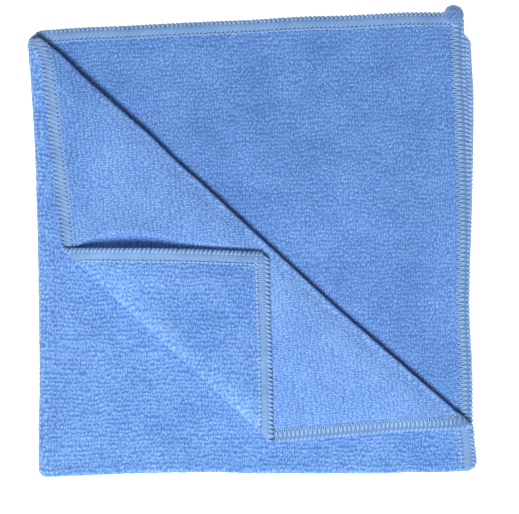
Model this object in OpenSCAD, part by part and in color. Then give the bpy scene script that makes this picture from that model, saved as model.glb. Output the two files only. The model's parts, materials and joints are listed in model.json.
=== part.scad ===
// Square microfibre polishing cloth, folded in half twice, with one corner of the
// top ply folded back along a diagonal and the tip of that corner folded back again.
//
// The cloth is one knitted sheet whose four edges are overlocked with three threads.
// Folding turns it into flat panels that hinge on soft creases, so every panel, every
// crease and every run of thread is a solid of its own.
//
// u runs to the right from the left crease and v runs up from the bottom crease.
// The origin is the centre of the footprint, on the surface that the cloth lies on.

/* [Cloth] */
// Thickness of the knitted sheet with its pile
cloth_t = 2.4; // [1.6:0.1:2.6]
// Distance from one ply to the next
ply_pitch = 2.8; // [2.8:0.1:3.4]

/* [Lower plies] */
// Width of the bottom panel along the bottom crease
bottom_w = 192; // [185:1:200]
// Width of the bottom panel along its top edge
bottom_top_w = 194.5; // [188:0.5:202]
// Height of the bottom panel at its right edge
bottom_h = 198.5; // [194:0.5:202]
// Height at which the bottom panel's top edge meets the left crease
bottom_left_h = 196; // [194:0.5:199]
// Width of the two inner panels
inner_w = 191; // [184:1:199]
// Height of the inner panels at the left crease
inner_left_h = 202; // [200:0.5:206]
// Height of the lower inner panel at its right edge
lower_inner_h = 200; // [196:0.5:203]
// Height of the upper inner panel at its right edge
upper_inner_h = 207; // [203:0.5:210]

/* [Top ply and its folded corner] */
// Width of the top panel along the bottom crease
top_w = 193; // [186:1:201]
// Width of the top panel where the diagonal crease ends
top_side_w = 190; // [184:1:198]
// Height at which the diagonal crease meets the left crease
flap_fold_left = 191; // [188:0.5:193]
// Height at which the diagonal crease meets the right edge
flap_fold_right = 19.5; // [15:0.5:26]
// Place where the tip crease meets the flap's left edge
tip_fold_left = [7, 106]; // [1:1:120]
// Place where the tip crease meets the flap's bottom edge
tip_fold_right = [104, 13]; // [8:1:112]
// Free corner of the tip
tip_corner = [99.8, 99.3]; // [90:0.1:101]

/* [Overlocked edge] */
// Width of the overlocked edge
hem_w = 6.5; // [5:0.5:8]
// Thickness of the overlocked edge
hem_t = 2.0; // [1.6:0.1:2.2]
// Thickness of the looper threads on the edge
thread_t = 0.5; // [0.4:0.05:0.6]
// Width of the needle thread's line of stitches
needle_w = 0.8; // [0.5:0.1:1.2]
// Radius of the free corners
corner_r = 5; // [3:0.5:6]
// Radius of the corner's tail of thread, wound into a knot
knot_r = 4.8; // [3.5:0.1:5.5]
// Height of the knot
knot_t = 3.2; // [2.6:0.1:3.6]
// Centre of the knot
knot_at = [186.4, 206.1]; // [180:0.1:208]

/* [Hidden] */
$fn = 64;

CLOTH = [0.44, 0.64, 0.91];
THREAD = [0.55, 0.71, 0.90];

// The sheet is pressed thinner where the threads wrap it
selvage_t = hem_t - 2 * thread_t;
// The cutters pass a crease by this much, so that no two faces coincide
over = 1;
// Gap that the round stitches of the knot keep from the corner under them
knot_gap = 0.05;
least_r = 0.5;
arc_steps = 8;

// The four pairs of plies turn around these axes: each lies midway between its plies
left_axis_z = (level(1) + level(4)) / 2;
lower_axis_z = (level(1) + level(2)) / 2;
upper_axis_z = (level(3) + level(4)) / 2;
flap_axis_z = (level(4) + level(5)) / 2;
tip_axis_z = (level(5) + level(6)) / 2;
narrow_r = ply_pitch / 2;
wide_r = 3 * ply_pitch / 2;

flap_fold_p = [0, flap_fold_left];
flap_fold_q = [top_side_w, flap_fold_right];
// An edge that crosses a crease at a slant comes out further along it
flap_shift = 1.5;
tip_shift = 7;
tip_end_shift = 3;
// Length of crease that an edge takes up where it crosses at a slant
slant_edge = 9;
left_edge = 6.5;

BOTTOM = [[0, 0], [bottom_w, 0], [bottom_top_w, bottom_h], [0, bottom_left_h]];
LOWER_INNER = [[0, 0], [inner_w + 0.5, 0], [inner_w + 3, lower_inner_h], [0, inner_left_h]];
UPPER_INNER = [[0, 0], [inner_w, 0], [inner_w, upper_inner_h], [0, inner_left_h]];
TOP = [[0, 0], [top_w, 0], flap_fold_q, flap_fold_p];
FLAP = [along(flap_fold_p, flap_fold_q, flap_shift), tip_fold_left, tip_fold_right,
    along(flap_fold_q, flap_fold_p, flap_shift)];
TIP = [along(tip_fold_left, tip_fold_right, tip_shift),
    along(tip_fold_right, tip_fold_left, tip_end_shift), tip_corner];

// Which sides of each outline are overlocked edges: side i runs from point i to the next
SQUARE_HEMS = [0, 1, 1, 0];
TOP_HEMS = [0, 1, 0, 0];
FLAP_HEMS = [1, 0, 1, 0];
TIP_HEMS = [0, 1, 1];

// Footprint, for the origin at its centre
foot_x0 = -(wide_r + cloth_t / 2);
foot_y0 = -(narrow_r + cloth_t / 2);
origin_u = (foot_x0 + bottom_top_w) / 2;
origin_v = (foot_y0 + knot_at[1] + knot_r) / 2;

// Height of the middle of a ply, counted from the surface up
function level(n) = cloth_t / 2 + (n - 1) * ply_pitch;

function unit(a) = a / norm(a);
function along(p, q, s) = p + unit(q - p) * s;
function left_of(a) = [-a[1], a[0]];
function cross2(a, b) = a[0] * b[1] - a[1] * b[0];
function heading(p, q) = atan2(q[1] - p[1], q[0] - p[0]);

// Where the lines p + s * a and q + t * b cross
function crossing(p, a, q, b) = p + a * cross2(q - p, b) / cross2(a, b);

// The outline with each side moved inwards: by edge on overlocked sides, by fold on others
function inset(points, hems, edge, fold) =
    let(n = len(points))
    [for (i = [0:n - 1])
        let(
            before = points[(i + n - 1) % n],
            here = points[i],
            after = points[(i + 1) % n],
            a = unit(here - before),
            b = unit(after - here),
            da = hems[(i + n - 1) % n] == 1 ? edge : fold,
            db = hems[i] == 1 ? edge : fold
        )
        crossing(before + left_of(a) * da, a, here + left_of(b) * db, b)];

// The outline with an arc at each corner where two overlocked sides meet
function rounded(points, hems, r) =
    let(n = len(points))
    [for (i = [0:n - 1])
        let(
            before = points[(i + n - 1) % n],
            here = points[i],
            after = points[(i + 1) % n],
            a = unit(here - before),
            b = unit(after - here),
            turn = acos(a * b),
            back = r * tan(turn / 2),
            centre = here - a * back + left_of(a) * r,
            first = atan2(-left_of(a)[1], -left_of(a)[0]),
            free = hems[(i + n - 1) % n] == 1 && hems[i] == 1
        )
        for (k = [0:free ? arc_steps : 0])
            let(at = first + turn * k / arc_steps)
            free ? centre + r * [cos(at), sin(at)] : here];

// Radius of the free corners at a distance in from the edge
function corner_at(d) = max(corner_r - d, least_r);

module place() translate([-origin_u, -origin_v, 0]) children();

// A flat plate from height low to height high
module plate(points, low, high) translate([0, 0, low]) linear_extrude(high - low) polygon(points);

// The knitted sheet of one ply, with its edges pressed thin under the threads
module sheet(points, hems, n) {
    z = level(n);
    body = rounded(inset(points, hems, hem_w, 0), hems, corner_at(hem_w));
    edge = rounded(inset(points, hems, thread_t, 0), hems, corner_at(thread_t));
    color(CLOTH) place() union() {
        plate(body, z - cloth_t / 2, z + cloth_t / 2);
        plate(edge, z - selvage_t / 2, z + selvage_t / 2);
    }
}

// A band along the overlocked sides, between two insets and two heights
module band(points, hems, outer, inner, low, high) difference() {
    plate(rounded(inset(points, hems, outer, 0), hems, corner_at(outer)), low, high);
    plate(rounded(inset(points, hems, inner, -over), hems, corner_at(inner)), low - over, high + over);
}

// Half of the looper thread's cover: side is 1 on top of the sheet and -1 under it
module looper(points, hems, n, side, reach) {
    z = level(n);
    face = [selvage_t / 2, hem_t / 2] * side;
    wall = [0, selvage_t / 2] * side;
    color(THREAD) place() union() {
        band(points, hems, 0, reach, z + min(face), z + max(face));
        band(points, hems, 0, thread_t, z + min(wall), z + max(wall));
    }
}

// The line of needle stitches along the inner side of the upper looper
module needle_run(points, hems, n) {
    z = level(n);
    color(THREAD) place() band(points, hems, hem_w - needle_w, hem_w, z + selvage_t / 2, z + hem_t / 2);
}

// A crease: half a tube on the left of the way from p to q, around an axis at height z
module half_tube(p, q, z, r, t) translate([p[0], p[1], z]) rotate([0, 0, heading(p, q)]) rotate([0, 90, 0])
    rotate_extrude(angle = 180) translate([r - t / 2, 0]) square([t, norm(q - p)]);

module crease(p, q, z, r) color(CLOTH) place() half_tube(p, q, z, r, cloth_t);
module edge_turn(p, q, z, r) color(THREAD) place() half_tube(p, q, z, r, hem_t);

module bottom_panel() sheet(BOTTOM, SQUARE_HEMS, 1);
module lower_inner_panel() sheet(LOWER_INNER, SQUARE_HEMS, 2);
module upper_inner_panel() sheet(UPPER_INNER, SQUARE_HEMS, 3);
module top_panel() sheet(TOP, TOP_HEMS, 4);
module flap_panel() sheet(FLAP, FLAP_HEMS, 5);
module tip_panel() sheet(TIP, TIP_HEMS, 6);

// The left creases stop short of the bottom, where the rounded middle of the cloth is
module left_outer_fold()
    crease([0, wide_r - narrow_r], [0, flap_fold_left - left_edge], left_axis_z, wide_r);
module left_inner_fold()
    crease([0, narrow_r], [0, inner_left_h - left_edge], left_axis_z, narrow_r);
module lower_bottom_fold() crease([bottom_w - left_edge, 0], [0, 0], lower_axis_z, narrow_r);
module upper_bottom_fold() crease([inner_w - left_edge, 0], [0, 0], upper_axis_z, narrow_r);

// The middle of the whole cloth, where its four creases meet: a quarter of a round shell
module corner_fold() color(CLOTH) place() translate([0, wide_r - narrow_r, left_axis_z])
    intersection() {
        difference() {
            sphere(r = wide_r + cloth_t / 2);
            sphere(r = wide_r - cloth_t / 2);
        }
        translate([-2 * wide_r, -2 * wide_r, -2 * wide_r]) cube([2 * wide_r, 2 * wide_r, 4 * wide_r]);
    }

module flap_fold() crease(along(flap_fold_p, flap_fold_q, slant_edge),
    along(flap_fold_q, flap_fold_p, slant_edge), flap_axis_z, narrow_r);
module tip_fold() crease(along(tip_fold_right, tip_fold_left, slant_edge),
    along(tip_fold_left, tip_fold_right, slant_edge + tip_end_shift), tip_axis_z, narrow_r);

module left_outer_edge_turn()
    edge_turn([0, flap_fold_left - left_edge], [0, bottom_left_h], left_axis_z, wide_r);
module left_inner_edge_turn()
    edge_turn([0, inner_left_h - left_edge], [0, inner_left_h], left_axis_z, narrow_r);
module lower_bottom_edge_turn() edge_turn([bottom_w, 0], [bottom_w - left_edge, 0], lower_axis_z, narrow_r);
module upper_bottom_edge_turn() edge_turn([inner_w, 0], [inner_w - left_edge, 0], upper_axis_z, narrow_r);
module flap_top_edge_turn() edge_turn(along(flap_fold_p, flap_fold_q, flap_shift),
    along(flap_fold_p, flap_fold_q, slant_edge), flap_axis_z, narrow_r);
module flap_side_edge_turn() edge_turn(along(flap_fold_q, flap_fold_p, slant_edge), flap_fold_q,
    flap_axis_z, narrow_r);
module tip_top_edge_turn() edge_turn(along(tip_fold_left, tip_fold_right, slant_edge + tip_end_shift),
    along(tip_fold_left, tip_fold_right, flap_shift), tip_axis_z, narrow_r);
module tip_side_edge_turn() edge_turn(along(tip_fold_right, tip_fold_left, flap_shift),
    along(tip_fold_right, tip_fold_left, slant_edge), tip_axis_z, narrow_r);

module bottom_needle_thread() needle_run(BOTTOM, SQUARE_HEMS, 1);
module bottom_upper_looper() looper(BOTTOM, SQUARE_HEMS, 1, 1, hem_w - needle_w);
module bottom_lower_looper() looper(BOTTOM, SQUARE_HEMS, 1, -1, hem_w);
module lower_inner_needle_thread() needle_run(LOWER_INNER, SQUARE_HEMS, 2);
module lower_inner_upper_looper() looper(LOWER_INNER, SQUARE_HEMS, 2, 1, hem_w - needle_w);
module lower_inner_lower_looper() looper(LOWER_INNER, SQUARE_HEMS, 2, -1, hem_w);
module upper_inner_needle_thread() needle_run(UPPER_INNER, SQUARE_HEMS, 3);
module upper_inner_upper_looper() looper(UPPER_INNER, SQUARE_HEMS, 3, 1, hem_w - needle_w);
module upper_inner_lower_looper() looper(UPPER_INNER, SQUARE_HEMS, 3, -1, hem_w);
module top_needle_thread() needle_run(TOP, TOP_HEMS, 4);
module top_upper_looper() looper(TOP, TOP_HEMS, 4, 1, hem_w - needle_w);
module top_lower_looper() looper(TOP, TOP_HEMS, 4, -1, hem_w);
module flap_needle_thread() needle_run(FLAP, FLAP_HEMS, 5);
module flap_upper_looper() looper(FLAP, FLAP_HEMS, 5, 1, hem_w - needle_w);
module flap_lower_looper() looper(FLAP, FLAP_HEMS, 5, -1, hem_w);
module tip_needle_thread() needle_run(TIP, TIP_HEMS, 6);
module tip_upper_looper() looper(TIP, TIP_HEMS, 6, 1, hem_w - needle_w);
module tip_lower_looper() looper(TIP, TIP_HEMS, 6, -1, hem_w);

// The tail of thread at the corner of the upper inner ply: a round bun that sits on the
// corner and beyond it
module corner_thread_knot() {
    z = level(3);
    color(THREAD) place() difference() {
        translate([knot_at[0], knot_at[1], z - hem_t / 2]) rotate_extrude() union() {
            square([knot_r - knot_t / 2, knot_t]);
            translate([knot_r - knot_t / 2, knot_t / 2]) intersection() {
                circle(r = knot_t / 2);
                translate([0, -knot_t]) square([knot_t, 2 * knot_t]);
            }
        }
        plate(rounded(inset(UPPER_INNER, SQUARE_HEMS, -knot_gap, 0), SQUARE_HEMS, corner_r),
            z - hem_t, z + hem_t / 2 + knot_gap);
    }
}

bottom_panel();
lower_inner_panel();
upper_inner_panel();
top_panel();
flap_panel();
tip_panel();
left_outer_fold();
left_inner_fold();
lower_bottom_fold();
upper_bottom_fold();
corner_fold();
flap_fold();
tip_fold();
left_outer_edge_turn();
left_inner_edge_turn();
lower_bottom_edge_turn();
upper_bottom_edge_turn();
flap_top_edge_turn();
flap_side_edge_turn();
tip_top_edge_turn();
tip_side_edge_turn();
bottom_needle_thread();
bottom_upper_looper();
bottom_lower_looper();
lower_inner_needle_thread();
lower_inner_upper_looper();
lower_inner_lower_looper();
upper_inner_needle_thread();
upper_inner_upper_looper();
upper_inner_lower_looper();
top_needle_thread();
top_upper_looper();
top_lower_looper();
flap_needle_thread();
flap_upper_looper();
flap_lower_looper();
tip_needle_thread();
tip_upper_looper();
tip_lower_looper();
corner_thread_knot();
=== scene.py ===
import json
import math

import bpy
import numpy as np
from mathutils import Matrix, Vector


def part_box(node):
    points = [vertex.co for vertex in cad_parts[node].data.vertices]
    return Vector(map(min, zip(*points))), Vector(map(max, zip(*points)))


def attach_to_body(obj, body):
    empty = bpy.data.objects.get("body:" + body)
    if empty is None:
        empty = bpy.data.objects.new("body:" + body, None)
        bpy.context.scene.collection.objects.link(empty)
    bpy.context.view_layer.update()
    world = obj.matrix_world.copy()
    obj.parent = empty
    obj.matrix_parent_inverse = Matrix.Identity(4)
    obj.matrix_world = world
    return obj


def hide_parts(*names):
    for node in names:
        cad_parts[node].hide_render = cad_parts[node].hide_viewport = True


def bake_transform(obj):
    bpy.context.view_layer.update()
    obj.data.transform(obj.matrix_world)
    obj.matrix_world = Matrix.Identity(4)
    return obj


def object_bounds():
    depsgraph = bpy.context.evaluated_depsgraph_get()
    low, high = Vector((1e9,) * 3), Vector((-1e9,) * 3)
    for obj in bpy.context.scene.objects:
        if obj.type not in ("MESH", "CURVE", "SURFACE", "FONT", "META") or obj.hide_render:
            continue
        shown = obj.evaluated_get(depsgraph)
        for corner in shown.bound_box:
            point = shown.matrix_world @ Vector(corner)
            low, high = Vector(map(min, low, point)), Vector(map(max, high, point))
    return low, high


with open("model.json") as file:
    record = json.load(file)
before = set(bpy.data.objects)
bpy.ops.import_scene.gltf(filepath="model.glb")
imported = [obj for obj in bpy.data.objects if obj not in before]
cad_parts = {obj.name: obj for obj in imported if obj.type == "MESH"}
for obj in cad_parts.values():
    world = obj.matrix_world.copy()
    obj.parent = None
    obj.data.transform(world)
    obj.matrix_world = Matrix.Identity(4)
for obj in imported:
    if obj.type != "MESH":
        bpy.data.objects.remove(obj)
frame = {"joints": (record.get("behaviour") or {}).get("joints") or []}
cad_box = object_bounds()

# A microfibre cloth folded in quarters. Its top ply's free corner is folded back along a diagonal, which
# makes the flap, and the corner of the flap is folded back again, which makes the tip.
#
# The cloth is worked out flat and then folded. All of it is in millimetres. The flat cloth has coordinates
# a and b, with 0, 0 at its middle: a < 0 goes to the upper two plies and b > 0 to the inner two. w is the
# height above the middle of the sheet, towards its pile side. In the fold frame, u runs right from the left
# crease, v runs up from the bottom crease and z is the height.

MM = 0.001


# ---------------------------------------------------------------- the frame, in millimetres

def mm(metres):
    return np.array(metres, float) / MM


def joint(name):
    return next(j for j in frame["joints"] if j["name"] == name)


def box_mm(node):
    low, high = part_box(node)
    return mm(low), mm(high)


def level(node):
    low, high = box_mm(node)
    return (low[2] + high[2]) / 2


book, flap_joint, tip_joint = joint("book_fold"), joint("flap_fold"), joint("tip_fold")
ORIGIN = np.array([mm(book["pos_m"])[0], box_mm("lower_bottom_fold")[1][1]])
LEFT_AXIS_Z = mm(book["pos_m"])[2]
Z_PLY = [level(n) for n in ("bottom_panel", "lower_inner_panel", "upper_inner_panel", "top_panel")]
PITCH = Z_PLY[1] - Z_PLY[0]
FOLD_R = PITCH / 2      # radius of a crease between two neighbouring plies
PAIR_R = PITCH          # radius of the left crease, at the middle of the folded pair
ARC = math.pi * FOLD_R  # length of sheet in such a crease


def line_of(j):
    """A crease's axis in the plan: a point, its direction and its normal to the upper right."""
    p = mm(j["pos_m"])[:2] - ORIGIN
    d = np.array(j["axis"][:2], float)
    d = d / np.linalg.norm(d)
    d = d if d[0] > 0 else -d
    return p, d, np.array([-d[1], d[0]])


FLAP_P, FLAP_D, FLAP_N = line_of(flap_joint)
TIP_P, TIP_D, TIP_N = line_of(tip_joint)

# ---------------------------------------------------------------- the cloth's sizes

CLOTH_HALF = 1.05                # half the sheet's thickness, under its loops
HEM_HALF = 0.5                   # half its thickness where the edge threads press it
HEM_W = 6.5                      # width of the overlocked edge on the flat cloth's right side
NARROW = 0.82                    # share of that width on its other sides
WIDEST = 1.05                    # the same near the middle of its left side
STITCH = 2.0                     # length of one overlock stitch
CORNER_R = 3.6                   # radius of the cloth's corners
WIDE = 197.0                     # half the flat cloth's width, with its part of the crease
TALL = 204.0                     # half its height
LEFT_ARC = math.pi * PAIR_R / 2  # half the sheet's length in the left crease
BOTTOM_ARC = ARC / 2             # half its length in a bottom crease
MARGIN = 3.0                     # flat sheet kept on each side of a crease that bends

FINE = 0.64       # mesh size of the plies that show most
MEDIUM = 0.72     # the same of the upper inner ply
COARSE = 1.1      # the same of the hidden plies
ACROSS = 0.5      # the same across a crease
UNDER_HEM = 0.35  # how far inside its edge threads the sheet ends
HIDDEN = 9.0      # how far below the diagonal the upper inner ply is split in two


# ---------------------------------------------------------------- small numeric helpers

def curve(points):
    """A smooth curve through a few points, as a function of its share of length."""
    p = np.array(points, float)
    p = np.vstack([2 * p[0] - p[1], p, 2 * p[-1] - p[-2]])
    out = []
    for i in range(1, len(p) - 2):
        t = np.linspace(0, 1, 24, endpoint=False)[:, None]
        out.append(0.5 * (2 * p[i] + (p[i + 1] - p[i - 1]) * t
                          + (2 * p[i - 1] - 5 * p[i] + 4 * p[i + 1] - p[i + 2]) * t ** 2
                          + (3 * p[i] - p[i - 1] - 3 * p[i + 1] + p[i + 2]) * t ** 3))
    out = np.vstack(out + [p[-2:-1]])
    run = np.concatenate([[0], np.cumsum(np.linalg.norm(np.diff(out, axis=0), axis=1))])
    run /= run[-1]
    return lambda s: np.stack([np.interp(s, run, out[:, k]) for k in (0, 1)], -1)


def smooth(x, low, high):
    t = np.clip((x - low) / (high - low), 0, 1)
    return t * t * (3 - 2 * t)


def rand(i, j, seed):
    """A repeatable random number from 0 to 1 for each pair of whole numbers."""
    n = (i.astype(np.int64) * 374761393 + j.astype(np.int64) * 668265263 + seed * 982451653) & 0x7FFFFFFF
    n = ((n ^ (n >> 13)) * 1274126177) & 0x7FFFFFFF
    return ((n ^ (n >> 16)) & 0xFFFFFF) / float(0xFFFFFF)


def value_noise(x, y, seed):
    """Soft noise from -1 to 1, with one bump per unit."""
    i, j = np.floor(x), np.floor(y)
    fx, fy = x - i, y - j
    fx, fy = fx * fx * (3 - 2 * fx), fy * fy * (3 - 2 * fy)
    n00, n10 = rand(i, j, seed), rand(i + 1, j, seed)
    n01, n11 = rand(i, j + 1, seed), rand(i + 1, j + 1, seed)
    return 2 * ((n00 * (1 - fx) + n10 * fx) * (1 - fy) + (n01 * (1 - fx) + n11 * fx) * fy) - 1


# ---------------------------------------------------------------- the outlines of the plies

# The edges of the plies, as a few points each. The plies aren't stacked quite square.
OUTER_LEFT = [(-1.1, 0.7), (-1.1, 6), (-0.9, 20), (-0.2, 36), (0.2, 60), (0.4, 102), (0.0, 143),
              (-0.7, 163), (-1.4, 180), (-2.1, 190), (-2.6, 200.6)]
INNER_LEFT = OUTER_LEFT[:-3] + [(-1.3, 180), (-2.1, 189), (-2.8, 197), (-3.2, 201.6)]
LEFT_CREASE = {"bottom": OUTER_LEFT, "lower_inner": INNER_LEFT, "upper_inner": INNER_LEFT,
               "top": OUTER_LEFT}
BOTTOM_CREASE = [(-1.1, 0.7), (17, 1.0), (35, 1.4), (70, 1.4), (94, 0.5), (117, 0), (140, -0.4),
                 (168, -0.5), (184, -0.5)]
RIGHT_EDGE = {
    "bottom": [(192.4, 0.5), (192.2, 40), (192.2, 75), (194.2, 105), (195.7, 140), (196.5, 168),
               (196.0, 184), (195.7, 197)],
    "lower_inner": [(192.1, 0.5), (191.9, 40), (191.8, 75), (193.5, 105), (194.7, 140), (195.3, 168),
                    (194.6, 184), (194.3, 198)],
    "upper_inner": [(191.9, 0.5), (192.3, 23), (192.5, 45), (191.8, 72), (192.9, 106), (192.7, 151),
                    (191.7, 185), (191.9, 206.2)],
    "top": [(193.8, 0.5), (193.9, 7), (193.9, 14), (193.6, 21), (193.0, 30), (192.2, 40), (191.6, 55),
            (191.2, 81), (190.3, 111), (188.0, 153), (185.5, 198.2)],
}
TOP_EDGE = {
    "bottom": [(-2.6, 200.6), (14, 198), (60, 196), (130, 196.5), (195.7, 197)],
    "lower_inner": [(-3.2, 201.6), (60, 200), (130, 199), (194.3, 198)],
    "upper_inner": [(-3.2, 201.6), (17, 202.6), (35, 203.0), (53, 203.6), (72, 204.2), (94, 204.7),
                    (117, 205.7), (140, 205.9), (163, 206.7), (176, 206.6), (191.9, 206.2)],
    "top": [(-2.6, 200.4), (1, 199.0), (6, 197.2), (12, 196.2), (24, 195.7), (36, 195.4), (82, 195.2),
            (131, 196.8), (185.5, 198.2)],
}
# Corners of the folded plies that are round: where, the radius, and which half of the cloth they are on
ROUNDINGS = [((-6.9, 202.4), 7.4, "outer"), ((-6.3, 202.6), 6.2, "inner"),
             ((194.7, -2.2), 4.5, "both"), ((-6.4, -2.0), 3.0, "both")]
LIMIT = 1.01      # how far past its edges a ply's outline is followed, as a share
PAST_EDGE = 0.99  # how much of what lies past an edge is added to that


def patch(name):
    """The ply's place in the plan, from its shares P and Q of the way across and up."""
    left, right, top = curve(LEFT_CREASE[name]), curve(RIGHT_EDGE[name]), curve(TOP_EDGE[name])
    bottom = curve(BOTTOM_CREASE + RIGHT_EDGE[name][:1])
    l0, l1, r0, r1 = left(0), left(1), right(0), right(1)

    def at(P, Q):
        p, q = P[..., None], Q[..., None]
        sides = (1 - p) * left(Q) + p * right(Q)
        ends = (1 - q) * bottom(P) + q * top(P)
        corners = (1 - q) * ((1 - p) * l0 + p * r0) + q * ((1 - p) * l1 + p * r1)
        return sides + ends - corners
    return at


PATCH = {name: patch(name) for name in RIGHT_EDGE}


def quarter_disc(x, y):
    """Draws a square corner in to an arc: a unit square goes to a quarter of a unit disc."""
    inside = (x > 0) & (y > 0)
    return (np.where(inside, x * np.sqrt(np.clip(1 - y * y / 2, 0.05, 1)), x),
            np.where(inside, y * np.sqrt(np.clip(1 - x * x / 2, 0.05, 1)), y))


def round_corner(p, q):
    """The cloth's own four corners are round."""
    x, y = quarter_disc((p - (WIDE - CORNER_R)) / CORNER_R, (q - (TALL - CORNER_R)) / CORNER_R)
    return WIDE - CORNER_R + x * CORNER_R, TALL - CORNER_R + y * CORNER_R


def round_folds(uv, inner):
    """The folded plies' outer corners are round too. inner says which points are on the inner half."""
    u, v = uv[..., 0], uv[..., 1]
    halves = {"both": True, "inner": inner, "outer": ~inner}
    for (cu, cv), r, half in ROUNDINGS:
        su, sv = (1 if cu > 0 else -1), (1 if cv > 0 else -1)
        fu, fv = cu - su * r, cv - sv * r
        x, y = quarter_disc((u - fu) / r * su, (v - fv) / r * sv)
        mine = halves[half]
        u, v = np.where(mine, fu + x * r * su, u), np.where(mine, fv + y * r * sv, v)
    return np.stack([u, v], -1)


def plan(a, b):
    """Where the sheet at a, b lies in the plan, before the top ply's corner is folded."""
    p, q = round_corner(np.abs(a), np.abs(b))
    P = np.clip((p - LEFT_ARC) / (WIDE - LEFT_ARC), 0, LIMIT)
    Q = np.clip((q - BOTTOM_ARC) / (TALL - BOTTOM_ARC), 0, LIMIT)
    base = np.clip((a + LEFT_ARC) / (2 * LEFT_ARC), 0, 1)[..., None]
    inner = np.clip((b + BOTTOM_ARC) / (2 * BOTTOM_ARC), 0, 1)[..., None]
    lower = (1 - inner) * PATCH["bottom"](P, Q) + inner * PATCH["lower_inner"](P, Q)
    upper = (1 - inner) * PATCH["top"](P, Q) + inner * PATCH["upper_inner"](P, Q)
    past_edge = np.stack([p - WIDE, q - TALL], -1).clip(0, None) * PAST_EDGE
    return base * lower + (1 - base) * upper + past_edge


def side_share(a, b):
    """Width of the overlocked edge along the sheet's two sides, as a share of its full width.

    The side with a > 0 is sewn wider, and so is the other one near the middle."""
    middle = smooth(b, -32, -24) * (1 - smooth(b, 6, 14))
    return np.where(np.asarray(a) > 0, 1.0, NARROW + (WIDEST - NARROW) * middle)


def edge_distance(a, b):
    """Distance in from the cloth's nearest edge, stretched where that edge is sewn narrower."""
    return np.minimum((WIDE - np.abs(a)) / side_share(a, b), (TALL - np.abs(b)) / NARROW)


# ---------------------------------------------------------------- the folds

def mirrored_tip_line():
    """The tip's crease on the top ply before the flap is folded over it."""
    s = (TIP_P - FLAP_P) @ FLAP_N
    p = TIP_P + FLAP_N * (ARC - 2 * s)
    d = TIP_D - 2 * (TIP_D @ FLAP_N) * FLAP_N
    return p, np.array([-d[1], d[0]])


TIP_FLAT_P, TIP_FLAT_N = mirrored_tip_line()
SHOULDER = 0.62  # how square a pressed crease's upper side is: 1 is round


def roll(uv, h, point, normal, side):
    """Bends what is past the line at point back over the line. side is 1 to bend up, -1 to bend down."""
    s = (uv - point) @ normal
    turn = np.clip(s / FOLD_R, 0, math.pi)
    lever = FOLD_R - side * h
    power = np.where(turn > math.pi / 2, SHOULDER, 1.0)
    reach = np.abs(np.sin(turn)) ** power
    rise = -np.sign(np.cos(turn)) * np.abs(np.cos(turn)) ** power
    across = np.where(s < 0, s, lever * reach - np.clip(s - ARC, 0, None))
    height = np.where(s < 0, h, side * (FOLD_R + lever * rise))
    return uv + normal * (across - s)[..., None], height, s


CREST = 1.5               # how far the flap puffs up beside its crease
CREST_AT = 12.0           # how far from the crease it is highest
CREST_DIP = 0.5           # share of that which the open mouth takes away
DIP_AT, DIP_W = 2.0, 6.0  # how far above the tip's top edge it does so, and how far round that
GAP_TOP = 101.4           # height up the page of the tip's top edge
MOUTH = 7.8               # widest opening of the mouth
# The mouth along the tip's top edge: how far across the page, and its share of the widest opening
OPENING = [(11.5, 0), (14, 0.2), (16, 0.36), (20, 0.61), (26, 0.78), (33, 0.96), (39, 1.0), (46, 0.96),
           (52, 0.76), (58, 0.5), (65, 0.33), (78, 0.19), (92, 0.08), (98, 0)]
TIP_LIFT = 5.8           # how far the tip's top edge stands up over the flap
TIP_REACH = 34.0         # how far down the tip that lift goes
LIP_LIFT = 4.0           # how far the flap rises beyond the mouth
LIP_STEP = 0.7           # width of that rise
LIP_FADE = 13.0          # how far up the flap it dies away
TIP_SWELL = 1.2          # how far the tip swells up from its crease
SWELL_W = 5.0            # the distance from its crease over which it does so
SWELL_HEM = (2.0, 18.0)  # the distances from its edges between which that sets in
HEM_DROP = 0.3           # how far the thinner hems of the flap and the tip sink
# The diagonal crease isn't straight or level: distance along it, with its shift to the upper right and
# with its lift
BOW = [(-5, 2.0), (5, 2.7), (13, 2.5), (21, 1.9), (38, 1.7), (62, 1.6), (78, 0.6), (95, 0.4), (127, -0.7),
       (152, -1.4), (176, -2.1), (256, -2.0)]
PRESS = [(0, 0.3), (20, 0.9), (50, 0.5), (78, -0.9), (256, -0.9)]
BOW_W = (9, 26)     # how far from the crease the shift reaches: below it and above it
PRESS_W = 8         # how far from the crease the lift reaches
PRESS_BELOW = 0.35  # share of the lift in the sheet below the crease
HEM_EASE = (1, 10)  # distances from the edge between which the hem's drop dies away
FADE = 14           # how far from the pressed creases the ripples reach their full height
# How much the flap and the tip ripple, how much the top ply does, and the inner plies' share of that. The
# bottom ply is level.
FLAP_SLACK, PLY_SLACK, INNER_SLACK = 0.8, 0.5, 0.6
# The ripples: height, size along a and along b, and seed
RIPPLES = ((0.28, 23, 19, 3), (0.14, 9, 11, 4))


def profile(points, at):
    """Height at some places of a line through a few points."""
    along, height = np.array(points).T
    return np.interp(at, along, height)


def crest_height(uv):
    """How far the cloth puffs up on the flap's side of its crease."""
    inside = np.clip(-(uv - FLAP_P) @ FLAP_N, 0, None) / CREST_AT
    return CREST * inside * np.exp(1 - inside)


def flap_height(uv):
    """How far the flap's soft shape lifts it above the flat."""
    up = uv[..., 1] - GAP_TOP
    opened = profile(OPENING, uv[..., 0])
    edge = MOUTH * opened
    fading = np.exp(-np.clip(up - edge, 0, None) / LIP_FADE)
    lip = LIP_LIFT * opened * smooth(up, edge - LIP_STEP, edge) * fading
    return crest_height(uv) * (1 - CREST_DIP * opened * np.exp(-((up - DIP_AT) / DIP_W) ** 2)) + lip


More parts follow.
